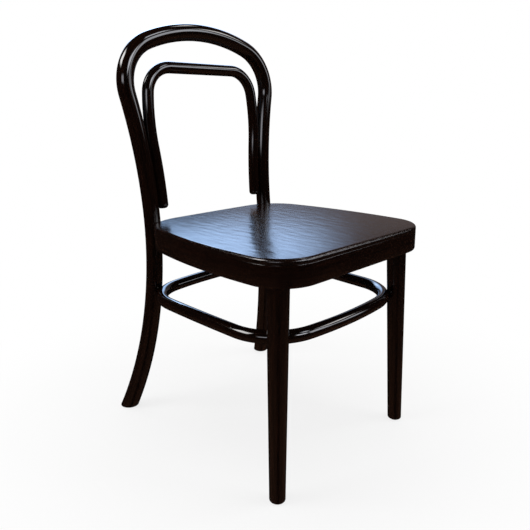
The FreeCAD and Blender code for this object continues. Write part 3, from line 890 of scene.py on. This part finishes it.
def window_group():
    """Light of one soft-edged window of the room, seen in a direction given by its heading and its rise."""
    tree = bpy.data.node_groups.get("Window")
    if tree:
        return tree
    tree = bpy.data.node_groups.new("Window", "ShaderNodeTree")
    face = tree.interface
    for name in ("Heading", "Rise", "Middle", "Half width", "Side softness", "Low", "High", "Rise softness",
                 "Radiance"):
        face.new_socket(name, in_out="INPUT", socket_type="NodeSocketFloat")
    face.new_socket("Tint", in_out="INPUT", socket_type="NodeSocketColor")
    face.new_socket("Light", in_out="OUTPUT", socket_type="NodeSocketVector")
    given = add(tree, "NodeGroupInput").outputs

    aside = add(tree, "ShaderNodeMath", {0: given["Heading"], 1: given["Middle"]}, operation="SUBTRACT")
    aside = add(tree, "ShaderNodeMath", {0: aside.outputs[0], 1: math.pi, 2: -math.pi}, operation="WRAP")
    aside = add(tree, "ShaderNodeMath", {0: aside.outputs[0]}, operation="ABSOLUTE")
    # Each edge gives 0 outside the window and 1 inside it
    mask = 1.0
    for high, low, softness in (
            (given["Half width"], aside.outputs[0], given["Side softness"]),
            (given["Rise"], given["Low"], given["Rise softness"]),
            (given["High"], given["Rise"], given["Rise softness"])):
        inside = add(tree, "ShaderNodeMath", {0: high, 1: low}, operation="SUBTRACT")
        start = add(tree, "ShaderNodeMath", {0: softness, 1: -1.0}, operation="MULTIPLY")
        edge = add(tree, "ShaderNodeMapRange", {
            "Value": inside.outputs[0], "From Min": start.outputs[0], "From Max": softness},
            interpolation_type="SMOOTHSTEP")
        mask = add(tree, "ShaderNodeMath", {0: mask, 1: edge.outputs["Result"]},
                   operation="MULTIPLY").outputs[0]
    strength = add(tree, "ShaderNodeMath", {0: mask, 1: given["Radiance"]}, operation="MULTIPLY")
    light = add(tree, "ShaderNodeVectorMath", {0: given["Tint"], "Scale": strength.outputs[0]},
                operation="SCALE")
    done = add(tree, "NodeGroupOutput")
    tree.links.new(light.outputs[0], done.inputs["Light"])
    return tree


# The room that the lacquer mirrors: heading, half width and softness at the sides, low and high edge and
# their softness, all in degrees, then radiance and tint
ROOM = (
    ("Rear window", 32, 18, 6, 15, 34, 6, 5.0, "#ACD0FF"),
    ("Rear window, upper part", 25, 14, 4, 25, 36, 4, 5.0, "#CCE2FF"),
    ("Front window, far pane", 172, 11, 3, 18, 31, 3, 11.0, "#F4F7FF"),
    ("Front window, middle pane", 147, 9, 3, 11, 31, 3, 6.5, "#F4F7FF"),
    ("Front window, near pane", 131, 6, 3, 8, 20, 3, 5.0, "#F4F7FF"),
    ("Front window, upper pane", 150, 9, 3, 44, 53, 3, 9.0, "#F4F7FF"),
    ("Front left window", 125, 8, 3, 31, 39, 3, 9.5, "#FFFCFA"),
    ("Right window", 242, 13, 4, 11, 22, 3, 5.0, "#F6F6FF"),
    ("Rear left window", 300, 20, 4, 34, 55, 4, 14.0, "#FFFDFB"),
    ("Ceiling light", 82, 8, 4, 57, 64, 3, 9.0, "#FFFFFF"),
    ("Far wall", 62, 25, 6, 2, 40, 6, 0.2, "#FFE9E6"),
    ("Floor, front", 150, 50, 8, -85, -22, 12, 0.13, "#E0A080"),
    ("Floor, right", 285, 50, 8, -85, -22, 12, 0.13, "#E0A080"),
)
ROOM_WALLS = "#201A18"
# Strength of the even light that the stain gets from all around
EVEN_FILL = 0.06


def studio_world():
    """White behind the chair, an even fill for the stain, and a dark room with windows for the lacquer.

    Glossy rays don't see the white, because it would turn the nearly black lacquer grey all over.
    """
    world = bpy.data.worlds.new("Studio")
    world.use_nodes = True
    tree = world.node_tree
    tree.nodes.clear()
    ray = add(tree, "ShaderNodeLightPath").outputs
    way = add(tree, "ShaderNodeTexCoord").outputs["Generated"]
    parts = add(tree, "ShaderNodeSeparateXYZ", {0: way}).outputs
    sideways = add(tree, "ShaderNodeMath", {0: parts["X"], 1: parts["Y"]}, operation="ARCTAN2").outputs[0]
    rise = add(tree, "ShaderNodeMath", {0: parts["Z"]}, operation="ARCSINE").outputs[0]
    room = linear(ROOM_WALLS)[:3]
    for name, *angles, radiance, tint in ROOM:
        window = add(tree, "ShaderNodeGroup", node_tree=window_group(), label=name)
        keys = ("Middle", "Half width", "Side softness", "Low", "High", "Rise softness")
        for key, value in zip(keys, angles):
            window.inputs[key].default_value = math.radians(value)
        window.inputs["Radiance"].default_value = radiance
        window.inputs["Tint"].default_value = linear(tint)
        tree.links.new(sideways, window.inputs["Heading"])
        tree.links.new(rise, window.inputs["Rise"])
        room = add(tree, "ShaderNodeVectorMath", {0: room, 1: window.outputs[0]},
                   operation="ADD").outputs[0]
    seen = add(tree, "ShaderNodeBackground", {"Color": room, "Strength": 1.0})
    fill = add(tree, "ShaderNodeBackground", {"Color": linear("#FFFFFF"), "Strength": EVEN_FILL})
    white = add(tree, "ShaderNodeBackground", {"Color": (1, 1, 1, 1), "Strength": 1.0})
    glossy = add(tree, "ShaderNodeMixShader", {
        0: ray["Is Glossy Ray"], 1: fill.outputs[0], 2: seen.outputs[0]})
    clear = add(tree, "ShaderNodeMath", {0: ray["Is Camera Ray"], 1: ray["Is Transmission Ray"]},
                operation="MAXIMUM")
    both = add(tree, "ShaderNodeMixShader", {0: clear.outputs[0], 1: glossy.outputs[0], 2: white.outputs[0]})
    output = add(tree, "ShaderNodeOutputWorld")
    tree.links.new(both.outputs[0], output.inputs["Surface"])
    bpy.context.scene.world = world


# The floor's half size, and how far from its middle it starts and ends to fade into the white, in metres
FLOOR_REACH = 12.0
FADE_START, FADE_END = 0.3, 0.9
# Share of plain white that the camera sees even where the fade starts, so that the shadow stays faint
LEAST_WHITE = 0.8


def floor_paint():
    """Matt white paint that holds the chair's shadow and fades into the white background further off."""
    material, tree = new_material("Matt white floor")
    place = add(tree, "ShaderNodeTexCoord").outputs["Object"]
    distance = add(tree, "ShaderNodeVectorMath", {0: place}, operation="LENGTH")
    far = add(tree, "ShaderNodeMapRange", {
        "Value": distance.outputs["Value"], "From Min": FADE_START, "From Max": FADE_END,
        "To Min": LEAST_WHITE},
        interpolation_type="SMOOTHSTEP")
    ray = add(tree, "ShaderNodeLightPath")
    blend = add(tree, "ShaderNodeMath", {0: far.outputs["Result"], 1: ray.outputs["Is Camera Ray"]},
                operation="MULTIPLY")
    paint = add(tree, "ShaderNodeBsdfDiffuse", {"Color": linear("#FAFAFA")})
    white = add(tree, "ShaderNodeEmission", {"Color": (1, 1, 1, 1), "Strength": 1.0})
    shader = add(tree, "ShaderNodeMixShader", {0: blend.outputs[0], 1: paint.outputs[0], 2: white.outputs[0]})
    finish_tree(tree, shader)
    return material


class CHAIR_OT_studio(ChairPiece, bpy.types.Operator):
    """Set up the floor, the lamps, the world and the camera"""
    bl_idname = "chair.studio"
    bl_label = "Studio"

    def execute(self, context):
        mesh = bpy.data.meshes.new("floor")
        corners = [(x * FLOOR_REACH, y * FLOOR_REACH, 0) for x, y in ((-1, -1), (1, -1), (1, 1), (-1, 1))]
        mesh.from_pydata(corners, [], [(0, 1, 2, 3)])
        floor = bpy.data.objects.new("floor", mesh)
        mesh.materials.append(floor_paint())
        floor.visible_glossy = False
        context.scene.collection.objects.link(floor)
        studio_world()
        for lamp in LAMPS:
            softbox(*lamp)
        make_camera()
        context.scene.view_settings.view_transform = "Standard"
        return {"FINISHED"}


class CHAIR_PT_panel(bpy.types.Panel):
    bl_idname = "CHAIR_PT_panel"
    bl_label = "Bentwood chair"
    bl_space_type = "VIEW_3D"
    bl_region_type = "UI"
    bl_category = "Chair"

    def draw(self, context):
        for operator in OPERATORS:
            self.layout.operator(operator.bl_idname)
        for name in ("seat", "back", "legs", "leg_ring", "finish"):
            group = getattr(context.scene.chair, name)
            box = self.layout.box()
            box.label(text=name.replace("_", " ").capitalize())
            for prop in group.bl_rna.properties:
                if prop.identifier not in ("rna_type", "name"):
                    box.prop(group, prop.identifier)


OPERATORS = (
    CHAIR_OT_outer_hoop, CHAIR_OT_inner_hoop, CHAIR_OT_leg_ring, CHAIR_OT_seat, CHAIR_OT_front_legs,
    CHAIR_OT_fittings, CHAIR_OT_studio,
)
GROUPS = (SeatSizes, BackSizes, LegSizes, LegRingSizes, Finish, ChairSettings)


def register():
    for item in GROUPS + OPERATORS + (CHAIR_PT_panel,):
        bpy.utils.register_class(item)
    bpy.types.Scene.chair = bpy.props.PointerProperty(type=ChairSettings)


def unregister():
    del bpy.types.Scene.chair
    for item in reversed(GROUPS + OPERATORS + (CHAIR_PT_panel,)):
        bpy.utils.unregister_class(item)


def main():
    register()
    bpy.ops.chair.outer_hoop()
    bpy.ops.chair.inner_hoop()
    bpy.ops.chair.leg_ring()
    bpy.ops.chair.seat()
    bpy.ops.chair.front_legs()
    bpy.ops.chair.fittings()
    bpy.ops.chair.studio()


if __name__ == "__main__":
    main()
